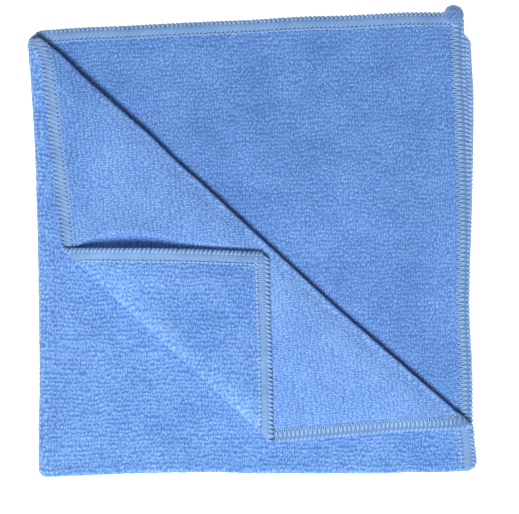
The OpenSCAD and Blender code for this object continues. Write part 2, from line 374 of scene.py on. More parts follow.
def tip_height(uv, inside_hem):
    """How far the tip is lifted: it lies on the flap, and its top edge stands up in an arch."""
    down = np.clip(GAP_TOP - uv[..., 1], 0, None)
    arch = TIP_LIFT * profile(OPENING, uv[..., 0]) * np.clip(1 - down / TIP_REACH, 0, 1) ** 2
    swell = TIP_SWELL * (1 - np.exp(-np.clip((uv - TIP_P) @ TIP_N, 0, None) / SWELL_W))
    return crest_height(uv) + swell * smooth(inside_hem, *SWELL_HEM) + arch


def bow(uv, over):
    """How far the diagonal crease and what is near it lie from their straight line."""
    t, s = (uv - FLAP_P) @ FLAP_D, (uv - FLAP_P) @ FLAP_N
    near = np.exp(-(s / (BOW_W[0] + (BOW_W[1] - BOW_W[0]) * over)) ** 2)
    return (profile(BOW, t) * near)[..., None] * FLAP_N


def press(uv, over):
    """How far the diagonal crease and what is beside it are lifted."""
    t, s = (uv - FLAP_P) @ FLAP_D, (uv - FLAP_P) @ FLAP_N
    return profile(PRESS, t) * np.exp(-(s / PRESS_W) ** 2) * (PRESS_BELOW + (1 - PRESS_BELOW) * over)


def ripple(a, b):
    """The slow unevenness of soft cloth."""
    return sum(height * value_noise(a / da, b / db, seed) for height, da, db, seed in RIPPLES)


def fold(a, b, w):
    """Carries points of the flat cloth to the folded cloth, in the fold frame."""
    a, b, w = np.broadcast_arrays(np.asarray(a, float), np.asarray(b, float), np.asarray(w, float))
    uv = plan(a, b)
    # round the bottom creases, and then round the left ones
    bottom = np.clip(b / BOTTOM_ARC, -1, 1) * math.pi / 2
    left = np.clip(a / LEFT_ARC, -1, 1) * math.pi / 2
    lever = PAIR_R - (FOLD_R + w) * np.sin(bottom)
    uv = uv - np.stack([lever * np.cos(left), (FOLD_R + w) * np.cos(bottom)], -1)
    uv = round_folds(uv, b > 0)
    z = LEFT_AXIS_Z - lever * np.sin(left)
    # the tip's crease, and then the flap's
    top = (a < -LEFT_ARC) & (b < 0)
    h = z - Z_PLY[3]
    tip_uv, tip_h, tip_s = roll(uv, h, TIP_FLAT_P, TIP_FLAT_N, -1)
    top_uv, top_h, top_s = roll(tip_uv, tip_h, FLAP_P, FLAP_N, 1)
    folded = top & (top_s > 0)
    uv = np.where(folded[..., None], top_uv, uv)
    z = np.where(folded, Z_PLY[3] + top_h, z)
    over = np.clip(top_s / ARC, 0, 1) * folded
    tip = np.clip(tip_s / ARC, 0, 1) * folded
    # the soft shapes
    inside_hem = edge_distance(a, b)
    z = z + over * ((1 - tip) * flap_height(uv) + tip * tip_height(uv, inside_hem)
                    - HEM_DROP * (1 - smooth(inside_hem, *HEM_EASE)))
    z = z + np.where(top, press(uv, over), 0.0)
    uv = uv + np.where(top, 1.0, 0.0)[..., None] * bow(uv, over)
    flat = smooth(np.abs(a), LEFT_ARC, LEFT_ARC + FADE) * smooth(np.abs(b), BOTTOM_ARC, BOTTOM_ARC + FADE)
    slack = (np.where(folded, over * FLAP_SLACK, PLY_SLACK)
             * np.where(b > 0, INNER_SLACK, np.where(a > 0, 0, 1)))
    z = z + flat * slack * ripple(a, b)
    return np.concatenate([uv, z[..., None]], -1)


def row_frame(points):
    """Fold frame in millimetres to the row frame in metres."""
    out = np.array(points, float)
    out[..., 0] += ORIGIN[0]
    out[..., 1] += ORIGIN[1]
    return out * MM


# ---------------------------------------------------------------- the sheet's own surface

def thickness(a, b):
    return HEM_HALF + (CLOTH_HALF - HEM_HALF) * smooth(edge_distance(a, b), HEM_W - 1.4, HEM_W + 0.5)


def tones(a, b):
    """How much lighter than average the sheet is: first on its pile side, then on its flat side.

    On the corner that is folded back, the flat side is painted lighter, a painted light as for a side that
    faces the lamp, except at its steep upper end, which keeps the painted shade of a side turned away. Where
    the tip's crease bends the pile, the pile side has a painted highlight along it."""
    corner = (a < 0) & (b < 0)
    uv = plan(a, b)
    past = smooth((uv - FLAP_P) @ FLAP_N, 0, 3) * corner
    steep = np.exp(-(np.clip((uv - FLAP_P) @ FLAP_D, 0, None) / 45) ** 2)
    bent = (uv - TIP_FLAT_P) @ TIP_FLAT_N - ARC / 2
    blotches = 0.5 * value_noise(a / 31, b / 26, 41) + 0.3 * value_noise(a / 13, b / 12, 42)
    # painted highlight along the tip's crease on the pile side; painted light on the flap's flat side, kept
    # off its steep end as painted shade
    pile = 0.10 * np.exp(-(np.clip(bent - 3, 0, None) / 5) ** 2) * (bent > -ARC / 2) * corner - 0.03
    return np.concatenate([pile + 0.07 * blotches, 0.16 * (1 - steep) * past + 0.08 * blotches])


ROW = 2.0          # pitch of the plush side's rows of loops
PILE_DEPTH = 0.42  # depth between those rows
FLAT_DEPTH = 0.16  # depth of the short side's unevenness
MEAN_LOOP = 0.45   # the loops' height, 0 to 1, at which the sheet has its own thickness


def wavy(a, b):
    """The cloth's coordinates with its rows of loops straightened: real rows wander."""
    along = a + 0.5 * value_noise(a / 8, b / 8, 11)
    across = b + 0.8 * value_noise(a / 8, b / 9, 12) + 0.5 * value_noise(a / 2.6, b / 3.1, 13)
    return along, across


def pile_loops(a, b):
    """Height of the plush side's looped rows, 0 to 1."""
    along, across = wavy(a, b)
    ridge = 0.5 - 0.5 * np.cos(2 * math.pi * across / ROW)
    clumps = 0.5 + 0.5 * value_noise(along / 1.3, across / 1.6, 15)
    return 0.32 * ridge + 0.68 * clumps


def flat_loops(a, b):
    """Height of the short side's knit, 0 to 1."""
    return 0.5 + 0.25 * value_noise(a / 1.5, b / 1.5, 21) + 0.25 * value_noise(a / 2.7, b / 1.9, 23)


def axis_lines(low, high, size):
    return np.linspace(low, high, max(2, int(round(abs(high - low) / size)) + 1))


class Net:
    """A flat mesh in cloth coordinates: points and faces."""

    def __init__(self, a_lines, b_lines):
        A, B = np.meshgrid(a_lines, b_lines, indexing="ij")
        self.points = np.stack([A.ravel(), B.ravel()], -1)
        n = len(b_lines)
        i, j = np.meshgrid(np.arange(len(a_lines) - 1), np.arange(n - 1), indexing="ij")
        k = (i * n + j).ravel()
        self.faces = [tuple(f) for f in np.stack([k, k + n, k + n + 1, k + 1], -1).tolist()]

    @classmethod
    def of(cls, points, faces):
        net = cls.__new__(cls)
        used = sorted({i for f in faces for i in f})
        index = {k: n for n, k in enumerate(used)}
        net.points = points[used]
        net.faces = [tuple(index[i] for i in f) for f in faces]
        return net

    def cut(self, field):
        """The parts of the net where the field is negative and where it is positive."""
        value = field(self.points)
        value = np.where(np.abs(value) < 1e-6, 1e-6, value)
        points, made = list(map(tuple, self.points)), {}
        below, above = [], []
        for f in self.faces:
            signs = [value[i] > 0 for i in f]
            if all(signs):
                above.append(f)
                continue
            if not any(signs):
                below.append(f)
                continue
            parts = ([], [])
            for k, i in enumerate(f):
                j = f[(k + 1) % len(f)]
                parts[int(signs[k])].append(i)
                if signs[k] != signs[(k + 1) % len(f)]:
                    key = (min(i, j), max(i, j))
                    if key not in made:
                        lo, hi = key
                        t = value[lo] / (value[lo] - value[hi])
                        made[key] = len(points)
                        points.append(tuple(self.points[lo] * (1 - t) + self.points[hi] * t))
                    parts[0].append(made[key])
                    parts[1].append(made[key])
            below.append(tuple(parts[0]))
            above.append(tuple(parts[1]))
        points = np.array(points)
        return Net.of(points, below), Net.of(points, above)

    def rim(self):
        """The net's outer edges, each in the direction in which its face runs."""
        once = {}
        for f in self.faces:
            for k, i in enumerate(f):
                j = f[(k + 1) % len(f)]
                key = (min(i, j), max(i, j))
                once[key] = None if key in once else (i, j)
        return [e for e in once.values() if e]


# ---------------------------------------------------------------- mesh making

def placed(name, data):
    obj = bpy.data.objects.new(name, data)
    bpy.context.scene.collection.objects.link(obj)
    return obj


def new_mesh(name, points, faces, materials, material_index, place, tone, cut_faces=0):
    """A mesh object in the row frame. Its materials read each point's place, which is its coordinates on
    the cloth and a height, and its tone, which is how much lighter than average it is.

    Its last cut_faces faces are shaded flat, so that a cut edge doesn't show beside the next piece."""
    mesh = bpy.data.meshes.new(name)
    sizes = np.fromiter((len(f) for f in faces), int, len(faces))
    flat = np.fromiter((i for f in faces for i in f), int, int(sizes.sum()))
    mesh.vertices.add(len(points))
    mesh.vertices.foreach_set("co", row_frame(points).astype(np.float32).ravel())
    mesh.loops.add(len(flat))
    mesh.loops.foreach_set("vertex_index", flat)
    mesh.polygons.add(len(faces))
    mesh.polygons.foreach_set("loop_start", np.concatenate([[0], np.cumsum(sizes)[:-1]]))
    mesh.polygons.foreach_set("loop_total", sizes)
    mesh.polygons.foreach_set("material_index", np.asarray(material_index, int))
    mesh.polygons.foreach_set("use_smooth", np.arange(len(faces)) < len(faces) - cut_faces)
    mesh.update(calc_edges=True)
    mesh.validate()
    places = mesh.attributes.new("cloth", "FLOAT_VECTOR", "POINT")
    places.data.foreach_set("vector", place.astype(np.float32).ravel())
    mesh.attributes.new("tone", "FLOAT", "POINT").data.foreach_set("value", tone.astype(np.float32))
    for m in materials:
        mesh.materials.append(m)
    return placed(name, mesh)


def cloth_piece(name, net):
    """A closed piece of the sheet: its pile side, its flat side and its rim."""
    a, b = net.points.T
    half = thickness(a, b)
    plain = smooth(edge_distance(a, b), HEM_W - 1.0, HEM_W + 0.8)
    up, down = pile_loops(a, b), flat_loops(a, b)
    pile_w = half + plain * PILE_DEPTH * (up - MEAN_LOOP)
    flat_w = half + plain * FLAT_DEPTH * (down - MEAN_LOOP)
    points = np.vstack([fold(a, b, pile_w), fold(a, b, -flat_w)])
    n = len(a)
    faces = list(net.faces)
    faces += [tuple(n + i for i in reversed(f)) for f in net.faces]
    rim = net.rim()
    faces += [(j, i, n + i, n + j) for i, j in rim]
    index = [0] * len(net.faces) + [1] * len(net.faces) + [0] * len(rim)
    probe = points[list(net.faces[0][:3])]
    normal = np.cross(probe[1] - probe[0], probe[2] - probe[0])
    outward = points[net.faces[0][0]] - points[n + net.faces[0][0]]
    if normal @ outward < 0:
        faces = [tuple(reversed(f)) for f in faces]
    place = np.column_stack([np.tile(np.column_stack(wavy(a, b)), (2, 1)), np.concatenate([up, down])])
    return new_mesh(name, points, faces, [PILE, KNIT], index, place, tones(a, b), len(rim))


# ---------------------------------------------------------------- materials

def nodes_of(material):
    material.use_nodes = True
    tree = material.node_tree
    tree.nodes.clear()
    out = tree.nodes.new("ShaderNodeOutputMaterial")
    shader = tree.nodes.new("ShaderNodeBsdfPrincipled")
    tree.links.new(shader.outputs[0], out.inputs[0])
    return tree, shader


def add(tree, kind, inputs=(), **settings):
    """A node with its settings, and its inputs linked or set in order of their names."""
    node = tree.nodes.new(kind)
    for key, value in settings.items():
        setattr(node, key, value)
    for key, value in dict(inputs).items():
        if isinstance(value, bpy.types.NodeSocket):
            tree.links.new(value, node.inputs[key])
        else:
            node.inputs[key].default_value = value
    return node


def scaled(tree, vector, scale):
    node = add(tree, "ShaderNodeVectorMath", {0: vector, 1: scale}, operation="MULTIPLY")
    return node.outputs[0]


def math_node(tree, operation, x, y=0.0):
    return add(tree, "ShaderNodeMath", {0: x, 1: y}, operation=operation).outputs[0]


def attribute(tree, name, output):
    return add(tree, "ShaderNodeAttribute", attribute_name=name).outputs[output]


def noise(tree, place, scale, detail, roughness):
    """Noise from 0 to 1, with scale bumps to a millimetre of place."""
    inputs = {"Vector": scaled(tree, place, scale), "Scale": 1.0, "Detail": detail, "Roughness": roughness}
    return add(tree, "ShaderNodeTexNoise", inputs).outputs["Fac"]


def give(shader, values):
    for name, value in values.items():
        shader.inputs[name].default_value = value


def ranged(tree, value, low, high):
    """0 at low, 1 at high, and a smooth step between them."""
    node = add(tree, "ShaderNodeMapRange", {"Value": value, "From Min": low, "From Max": high},
               interpolation_type="SMOOTHSTEP")
    return node.outputs[0]


def weighted(tree, terms):
    """The sum of some values, each times its share."""
    total = None
    for value, share in terms:
        part = math_node(tree, "MULTIPLY", value, share)
        total = part if total is None else math_node(tree, "ADD", total, part)
    return total


def ramp(tree, factor, stops):
    node = add(tree, "ShaderNodeValToRGB", {"Fac": factor})
    elements = node.color_ramp.elements
    while len(elements) < len(stops):
        elements.new(0.5)
    for element, (place, colour) in zip(elements, stops):
        element.position = place
        element.color = (*colour, 1)
    return node.outputs[0]


def loop_material(name, colours, cell, scatter, speck, depth, shares, roughness):
    """Knitted microfibre: loops in rows, fine fibres on them, and slow changes of tone.

    cell is the width of a loop and the pitch of its rows, and speck is a loop's size in its cell. shares
    are how much of the height comes from the loops, the furrows between rows, the fibres and the mesh."""
    material = bpy.data.materials.new(name)
    tree, shader = nodes_of(material)
    parts = add(tree, "ShaderNodeSeparateXYZ", {0: attribute(tree, "cloth", "Vector")})
    sheet = add(tree, "ShaderNodeCombineXYZ", {"X": parts.outputs[0], "Y": parts.outputs[1]}).outputs[0]
    grid = {"Vector": scaled(tree, sheet, (1 / cell[0], 1 / cell[1], 0)), "Scale": 1.0, "Randomness": scatter}
    cells = add(tree, "ShaderNodeTexVoronoi", grid, voronoi_dimensions="2D")
    loop = ranged(tree, cells.outputs["Distance"], speck, 0.0)
    turn = math_node(tree, "FRACT", math_node(tree, "DIVIDE", parts.outputs[1], cell[1]))
    furrow = ranged(tree, math_node(tree, "ABSOLUTE", math_node(tree, "SUBTRACT", turn, 0.5)), 0.5, 0.28)
    grain = noise(tree, sheet, (1.3 / cell[0], 1.6 / cell[1], 0), 3.0, 0.7)
    fibre = ranged(tree, grain, 0.25, 0.75)
    height = weighted(tree, zip((loop, furrow, fibre, parts.outputs[2]), shares))
    slow = noise(tree, sheet, (0.045, 0.06, 1), 4.0, 0.6)
    patchy = math_node(tree, "MULTIPLY", math_node(tree, "SUBTRACT", slow, 0.5), 0.4)
    own = attribute(tree, "tone", "Fac")
    # The colour follows the loops' height: the furrows and low loops are darker, painted shade, and the
    # loops' tops lighter, a painted highlight; slow patches of random tone and the point's own tone are added
    # to it
    tone = math_node(tree, "ADD", math_node(tree, "ADD", height, patchy), own)
    colour = ramp(tree, tone, [(0.2, colours[0]), (0.52, colours[1]), (0.85, colours[2])])
    tree.links.new(colour, shader.inputs["Base Color"])
    bump = add(tree, "ShaderNodeBump", {"Height": height, "Strength": 1.0, "Distance": depth * MM})
    tree.links.new(bump.outputs[0], shader.inputs["Normal"])
    give(shader, {"Roughness": roughness, "Specular IOR Level": 0.2, "Sheen Weight": 0.35,
                  "Sheen Roughness": 0.5, "Sheen Tint": (0.75, 0.87, 1.0, 1)})
    return material


def thread_material(name, dark, light):
    """Bulky textured thread: many fine fibres with a soft gloss."""
    material = bpy.data.materials.new(name)
    tree, shader = nodes_of(material)
    place = attribute(tree, "cloth", "Vector")
    fibre = noise(tree, place, (3.5, 3.5, 6), 4.0, 0.6)
    slow = noise(tree, place, (0.08, 0.08, 0), 2.0, 0.5)
    own = attribute(tree, "tone", "Fac")
    # own is each point's tone, which holds the painted highlight on the strands' crests and the painted shade
    # on their flanks
    tone = weighted(tree, ((fibre, 0.7), (slow, 0.3), (own, 1.0)))
    tree.links.new(ramp(tree, tone, [(0.3, dark), (0.7, light)]), shader.inputs["Base Color"])
    bump = add(tree, "ShaderNodeBump", {"Height": fibre, "Strength": 0.5, "Distance": 0.12 * MM})
    tree.links.new(bump.outputs[0], shader.inputs["Normal"])
    give(shader, {"Roughness": 0.62, "Specular IOR Level": 0.35, "Sheen Weight": 0.2})
    return material


# Each cloth's colours run from the painted shade of its furrows through its middle tone to the painted
# highlight on its loops' tops
PILE = loop_material("pile_side", [(0.072, 0.19, 0.54), (0.172, 0.365, 0.79), (0.36, 0.60, 0.93)],
                     (0.9, ROW), 0.75, 0.6, 0.40, (0.38, 0.10, 0.34, 0.18), 0.9)
KNIT = loop_material("knit_side", [(0.069, 0.178, 0.47), (0.144, 0.308, 0.72), (0.29, 0.51, 0.92)],
                     (1.14, 1.85), 0.6, 0.5, 0.30, (0.42, 0.08, 0.38, 0.12), 0.85)
THREAD = thread_material("edge_thread", (0.12, 0.25, 0.50), (0.31, 0.52, 0.86))
NEEDLE = thread_material("needle_thread", (0.20, 0.38, 0.70), (0.42, 0.63, 0.93))


# ---------------------------------------------------------------- the sheet, panel by panel

def flap_side(points):
    """Distance past the line of the flap's crease, before the flap is folded."""
    return (plan(*points.T) - FLAP_P) @ FLAP_N


def tip_side(points):
    """The same for the tip's crease."""
    return (plan(*points.T) - TIP_FLAT_P) @ TIP_FLAT_N


def shifted(field, by):
    return lambda points: field(points) - by


def make_cloth():
    """Every piece of the sheet and its flat size, keyed by the CAD panel or crease that it stands for."""
    A, B = WIDE - UNDER_HEM, TALL - UNDER_HEM
    left = LEFT_ARC + MARGIN
    low = BOTTOM_ARC + MARGIN
    outer_b, inner_b = axis_lines(-B, -low, FINE), axis_lines(low, B, MEDIUM)
    page_a, base_a = axis_lines(-A, -left, FINE), axis_lines(left, A, COARSE)
    bottom_b = axis_lines(-low, low, ACROSS)
    split = int(np.argmax(bottom_b > BOTTOM_ARC - 0.1))
    strip_a = axis_lines(-left, left, ACROSS)
    inner = Net(axis_lines(-A, -left, MEDIUM), inner_b)
    under, shown = inner.cut(shifted(flap_side, -HIDDEN))
    page, rest = Net(page_a, outer_b).cut(shifted(flap_side, -MARGIN))
    flap_fold, rest = rest.cut(shifted(flap_side, ARC + MARGIN))
    flap, rest = rest.cut(shifted(tip_side, -MARGIN))
    tip_fold, tip = rest.cut(shifted(tip_side, ARC + MARGIN))
    parts = {
        "bottom_panel": Net(base_a, axis_lines(-B, -low, COARSE)),
        "lower_bottom_fold": Net(base_a, bottom_b),
        "lower_inner_panel": Net(base_a, axis_lines(low, B, COARSE)),
        "upper_bottom_fold": Net(page_a, bottom_b),
        "upper_inner_panel": shown,
        "upper_inner_under": under,
        "top_panel": page,
        "flap_fold": flap_fold,
        "flap_panel": flap,
        "tip_fold": tip_fold,
        "tip_panel": tip,
        "left_outer_fold": Net(strip_a, np.concatenate([outer_b, bottom_b[1:split + 1]])),
        "left_inner_fold": Net(strip_a, np.concatenate([bottom_b[split:-1], inner_b])),
    }
    sizes = {name: cut_size(net) for name, net in parts.items()}
    made = {name: cloth_piece(name.replace("_panel", "") + "_cloth", net) for name, net in parts.items()}
    return made, sizes


# ---------------------------------------------------------------- the overlock threads

def tubes(paths, across, up, sides=8):
    """Oval tubes along many paths of as many points each, in cloth coordinates a, b, w."""
    d = np.gradient(paths, axis=1)
    d /= np.linalg.norm(d, axis=2, keepdims=True) + 1e-9
    inward = np.zeros_like(d)
    inward[..., 2] = np.where(np.abs(d[..., 2]) > 0.9, 0, 1)
    inward[..., 0] = np.where(np.abs(d[..., 2]) > 0.9, np.abs(d[..., 1]) + 0.3, 0)
    side = np.cross(d, inward)
    side /= np.linalg.norm(side, axis=2, keepdims=True) + 1e-9
    lift = np.cross(side, d)
    turn = np.arange(sides) * 2 * math.pi / sides
    wide = np.broadcast_to(across, paths.shape[1:2])[None, :, None, None]
    high = np.broadcast_to(up, paths.shape[1:2])[None, :, None, None]
    ring = (side[:, :, None, :] * wide * np.cos(turn)[None, None, :, None]
            + lift[:, :, None, :] * high * np.sin(turn)[None, None, :, None])
    return paths[:, :, None, :] + ring


def tube_faces(count, length, sides, first=0):
    faces = []
    for n in range(count):
        base = first + n * length * sides
        for i in range(length - 1):
            for k in range(sides):
                m = (k + 1) % sides
                faces.append((base + i * sides + k, base + i * sides + m,
                              base + (i + 1) * sides + m, base + (i + 1) * sides + k))
        faces.append(tuple(base + k for k in reversed(range(sides))))
        faces.append(tuple(base + (length - 1) * sides + k for k in range(sides)))
    return faces


# One stitch of each thread, as points along it: s along the edge in stitches, e in from the edge, w up
# from the sheet on its pile side, and half the strand's width and height there
STRANDS = {
    # the upper looper's pair of strands, on the pile side, that lie close and cover the edge
    "upper": [(-0.16, 0.4, 0.6, 0.48, 0.28), (-0.22, 1.2, 0.82, 0.56, 0.3), (-0.26, 2.0, 0.98, 0.74, 0.32),
              (-0.27, 3.0, 1.04, 0.86, 0.36), (-0.25, 4.4, 1.02, 0.84, 0.34), (-0.2, 5.4, 0.88, 0.6, 0.3),
              (0.0, 5.95, 0.74, 0.4, 0.28), (0.2, 5.4, 0.88, 0.6, 0.3), (0.25, 4.4, 1.02, 0.84, 0.34),
              (0.24, 3.0, 1.04, 0.86, 0.36), (0.22, 2.0, 0.98, 0.74, 0.32), (0.2, 1.2, 0.82, 0.56, 0.3),
              (0.16, 0.4, 0.6, 0.48, 0.28)],
    # the lower looper's slanting ribs, on the flat side: one thick leg to a stitch and one thin
    "lower": [(-0.92, 0.7, -0.76, 0.5, 0.26), (-0.7, 1.7, -0.98, 0.72, 0.34), (-0.42, 2.9, -1.04, 0.78, 0.38),
              (-0.14, 4.1, -1.04, 0.74, 0.38), (0.12, 5.2, -0.98, 0.56, 0.34), (0.34, 5.9, -0.94, 0.4, 0.28),
              (0.52, 5.3, -0.92, 0.5, 0.3), (0.34, 4.1, -0.93, 0.6, 0.33), (0.06, 2.9, -0.93, 0.62, 0.33),
              (-0.22, 1.7, -0.88, 0.6, 0.32), (-0.44, 0.7, -0.72, 0.5, 0.28)],
    # where the loopers lock over the edge, one slanting bead to a stitch, like a cord
    "rope": [(-0.5, 2.5, 0.92, 0.5, 0.22), (-0.38, 1.6, 1.06, 0.74, 0.36), (-0.22, 0.7, 1.06, 0.88, 0.46),
             (-0.03, 0.1, 0.52, 0.92, 0.54), (0.13, 0.05, -0.3, 0.9, 0.54), (0.31, 0.6, -0.96, 0.8, 0.42),
             (0.47, 1.6, -1.0, 0.52, 0.26)],
    # the needle's stitches on the pile side
    "needle": [(-0.42, 6.15, 0.66, 0.28, 0.22), (-0.26, 6.5, 1.04, 0.48, 0.36),
               (-0.03, 6.75, 1.2, 0.54, 0.42), (0.2, 6.6, 1.06, 0.48, 0.36), (0.36, 6.2, 0.66, 0.28, 0.22)],
    # the needle thread's small loops on the flat side
    "catch": [(-0.5, 5.7, -1.14, 0.26, 0.2), (-0.26, 6.5, -1.2, 0.34, 0.26), (0.0, 6.9, -1.18, 0.38, 0.28),
              (0.26, 6.5, -1.2, 0.34, 0.26), (0.5, 5.7, -1.14, 0.26, 0.2)],
    # the same loops where the thread is slack: arches that reach out across the edge
    "slack": [(-0.5, 2.2, -1.26, 0.24, 0.18), (-0.4, 3.6, -1.4, 0.26, 0.2), (-0.32, 5.2, -1.4, 0.27, 0.2),
              (-0.16, 6.5, -1.3, 0.28, 0.22), (0.04, 6.8, -1.26, 0.28, 0.22), (0.22, 6.3, -1.32, 0.28, 0.22),
              (0.32, 5.0, -1.4, 0.26, 0.2), (0.4, 3.5, -1.4, 0.26, 0.2), (0.5, 2.2, -1.26, 0.24, 0.18)],
}
# How much lighter than average each strand is, and its painted light and shade: how much lighter its crest is
# painted than its flanks
STRAND_TONE = {"upper": -0.08, "lower": -0.05, "rope": 0.05, "needle": -0.02, "catch": -0.08, "slack": -0.03}
PAINTED_CREST_LIGHT = {"upper": 0.08, "lower": 0.08, "rope": 0.30, "needle": 0.14, "catch": 0.1, "slack": 0.1}
BUN_TONE, BUN_PAINTED_CREST_LIGHT = -0.24, 0.5  # the same for the bun of thread
SLACK_SHADE = 0.25                 # how much darker the threads are where the needle's thread is slack
EDGE_SHADE = 0.09                  # how much darker they are at the very edge
EDGE_BAND = (1.2, 3.2)             # the distances from the edge between which that darkness dies away
CORNER_GAP = 1.6                   # how far short of the cloth's corners the rows of stitches end
UNEVEN, RAGGED = 0.14, 0.3         # how uneven the stitches are along the edge, and in from it
# The sense in which each edge is sewn: round the cloth, clockwise on its pile side
EDGES = {"+a": -1, "-a": 1, "+b": 1, "-b": -1}
SLACK_EDGES = ("+a", "-a")
NODE_OF = {"upper": "upper_looper", "lower": "lower_looper", "rope": "upper_looper",
           "needle": "needle_thread", "catch": "needle_thread", "slack": "needle_thread"}


def thread_rings(edge, reach, kind):
    """The stitches of one thread along one edge of the flat cloth: "+a", "-a", "+b" or "-b"."""
    count = int(round(2 * reach / STITCH))
    at = -reach + (np.arange(count) + 0.5) * 2 * reach / count
    seed = 31 + 7 * list(STRANDS).index(kind) + ord(edge[0]) + ord(edge[1])
    uneven = rand(np.arange(count), np.full(count, 5), seed) - 0.5
    s, e, w, wide, high = np.array(STRANDS[kind]).T
    along = at[:, None] + (EDGES[edge] * s[None, :] + UNEVEN * uneven[:, None]) * STITCH
    sign = 1 if edge[0] == "+" else -1
    share = side_share(sign, at)[:, None] if edge[1] == "a" else NARROW
    inward = (e[None, :] + RAGGED * uneven[:, None] * smooth(e, 1, 5)[None, :]) * share
    height = np.broadcast_to(w, along.shape)
    flat = (sign * (WIDE - inward), along) if edge[1] == "a" else (along, sign * (TALL - inward))
    return tubes(np.stack([*flat, height], -1), wide, high)


LEFT_BAND = LEFT_ARC + MARGIN - 0.6  # a stitch this near a left crease goes round it
BOTTOM_BAND = BOTTOM_ARC + 0.3       # the same for the bottom creases


def region(paths):
    """Which panel or crease each stitch belongs to, by its own points."""
    a, b = paths[..., 0], paths[..., 1]
    out = np.empty(len(paths), object)
    points = paths[..., :2].reshape(-1, 2)
    s, t = flap_side(points).reshape(a.shape), tip_side(points).reshape(a.shape)
    for n in range(len(paths)):
        upper, outer = a[n].mean() <= 0, b[n].mean() < 0
        edge = "_top" if b[n].mean() < -TALL + HEM_W else "_side"
        if (np.abs(a[n]) < LEFT_BAND).any():
            out[n] = "left_outer" if outer else "left_inner"
        elif (np.abs(b[n]) < BOTTOM_BAND).any():
            out[n] = "upper_bottom" if upper else "lower_bottom"
        elif not upper:
            out[n] = "bottom" if outer else "lower_inner"
        elif not outer:
            out[n] = "upper_inner"
        elif s[n].max() < 0:
            out[n] = "top"
        elif s[n].min() < ARC:
            out[n] = "flap" + edge
        elif t[n].max() < 0:
            out[n] = "flap"
        elif t[n].min() < ARC:
            out[n] = "tip" + edge
        else:
            out[n] = "tip"
    return out


def crests(rings):
    """For each point of some strands, how far up its strand it is: highest at 0.36, on its flanks -0.64.
    It paints the crests lighter and the flanks darker, as painted light and shade.
    """
    n, length, sides, _ = rings.shape
    return np.tile(np.abs(np.sin(np.arange(sides) * 2 * math.pi / sides)), n * length) - 0.64


def strand_mesh(name, bundles, material, laid):
    """One mesh of many strands: bundles holds their rings and tones, and laid carries points to the fold
    frame."""
    faces, count = [], 0
    for rings, _ in bundles:
        n, length, sides, _ = rings.shape
        faces += tube_faces(n, length, sides, count)
        count += n * length * sides
    points = np.vstack([laid(rings.reshape(-1, 3)) for rings, _ in bundles])
    place = np.vstack([rings.reshape(-1, 3) for rings, _ in bundles])
    tone = np.concatenate([tone for _, tone in bundles])
    return new_mesh(name, points, faces, [material], np.zeros(len(faces)), place, tone)


def make_threads():
    """The edge's threads, keyed by the CAD node that each stands for."""
    bundles = {}
    for edge in EDGES:
        reach = (TALL if edge[1] == "a" else WIDE) - CORNER_GAP
        slack = edge in SLACK_EDGES
        for kind in (k for k in STRANDS if k != ("catch" if slack else "slack")):
            row = thread_rings(edge, reach, kind)
            where = region(row.mean(axis=2))
            own_tone = STRAND_TONE[kind] - SLACK_SHADE * (slack and kind == "lower")
            for place in sorted(set(where)):
                key = f"{place}_{NODE_OF[kind]}" if place in BODY else place + "_edge_turn"
                rings = row[where == place]
                a, b, _ = rings.reshape(-1, 3).T
                rim = 1 - smooth(edge_distance(a, b), *EDGE_BAND)
                # painted highlight on each strand's crest and painted shade on its flanks, and darker at the
                # very edge
                tone = own_tone + PAINTED_CREST_LIGHT[kind] * crests(rings) - EDGE_SHADE * rim
                bundles.setdefault(key, []).append((rings, tone))
    made = {}
    for key, own in bundles.items():
        material = NEEDLE if key.endswith("needle_thread") else THREAD
        made[key] = strand_mesh(key + "_stitches", own, material, lambda flat: fold(*flat.T))
    return made


# The bun of thread: where its middle is from the middle of its box in the CAD, the angle of its axis, and
# the outer winding and the core: how far inside the box, the number of turns, and the strand's width and
# height, halved
BUN_SHIFT = np.array([1.2, -0.5, 0])
BUN_LEAN = math.radians(-38)
WINDINGS = [(0.52, 0.52, 11.5, 0.52, 0.52), (1.2, 1.1, 5.5, 0.9, 0.7)]
# The strand that hooks over it, as points from its middle, with their height as a share of the bun's
HOOK = [(-1.9, 0.6, 0.9), (-1.5, 1.5, 0.98), (-0.3, 1.9, 1.04), (0.8, 1.2, 1.06), (0.9, 0.1, 1.08),
        (0.1, -0.6, 1.08), (-0.9, -0.9, 1.04), (-1.6, -1.9, 0.9), (-1.7, -2.9, 0.62)]
HOOK_SIZE = (0.5, 0.45)  # half that strand's width and height


def wound(reach, rise, turns, lean):
    """A strand wound into a bun: a helix on an ellipsoid, with its axis in the plan at angle lean."""
    t = np.linspace(0.06, 0.94, int(turns * 26))
    along, r = -reach * np.cos(math.pi * t), reach * np.sin(math.pi * t)
    turn = 2 * math.pi * turns * t
    across = r * np.cos(turn)
    return np.stack([along * math.cos(lean) - across * math.sin(lean),
                     along * math.sin(lean) + across * math.cos(lean), rise / reach * r * np.sin(turn)], -1)


def make_knot():
    """The tail of thread at the corner of the upper inner ply, wound into a bun and hooked down."""
    low, high = box_mm("corner_thread_knot")
    centre = (low + high) / 2 - np.array([*ORIGIN, 0]) + BUN_SHIFT
    reach, rise = (high[0] - low[0]) / 2, (high[2] - low[2]) / 2
    rings = [tubes(wound(reach - side, rise - top, turns, BUN_LEAN)[None], wide, tall)
             for side, top, turns, wide, tall in WINDINGS]
    rings.append(tubes((np.array(HOOK) * (1, 1, rise))[None], *HOOK_SIZE))
    # the bun's crests are painted lighter and its flanks darker, as painted light and shade
    bundles = [(ring + centre, BUN_TONE + BUN_PAINTED_CREST_LIGHT * crests(ring)) for ring in rings]
    return strand_mesh("corner_thread_knot_coil", bundles, THREAD, lambda points: points)


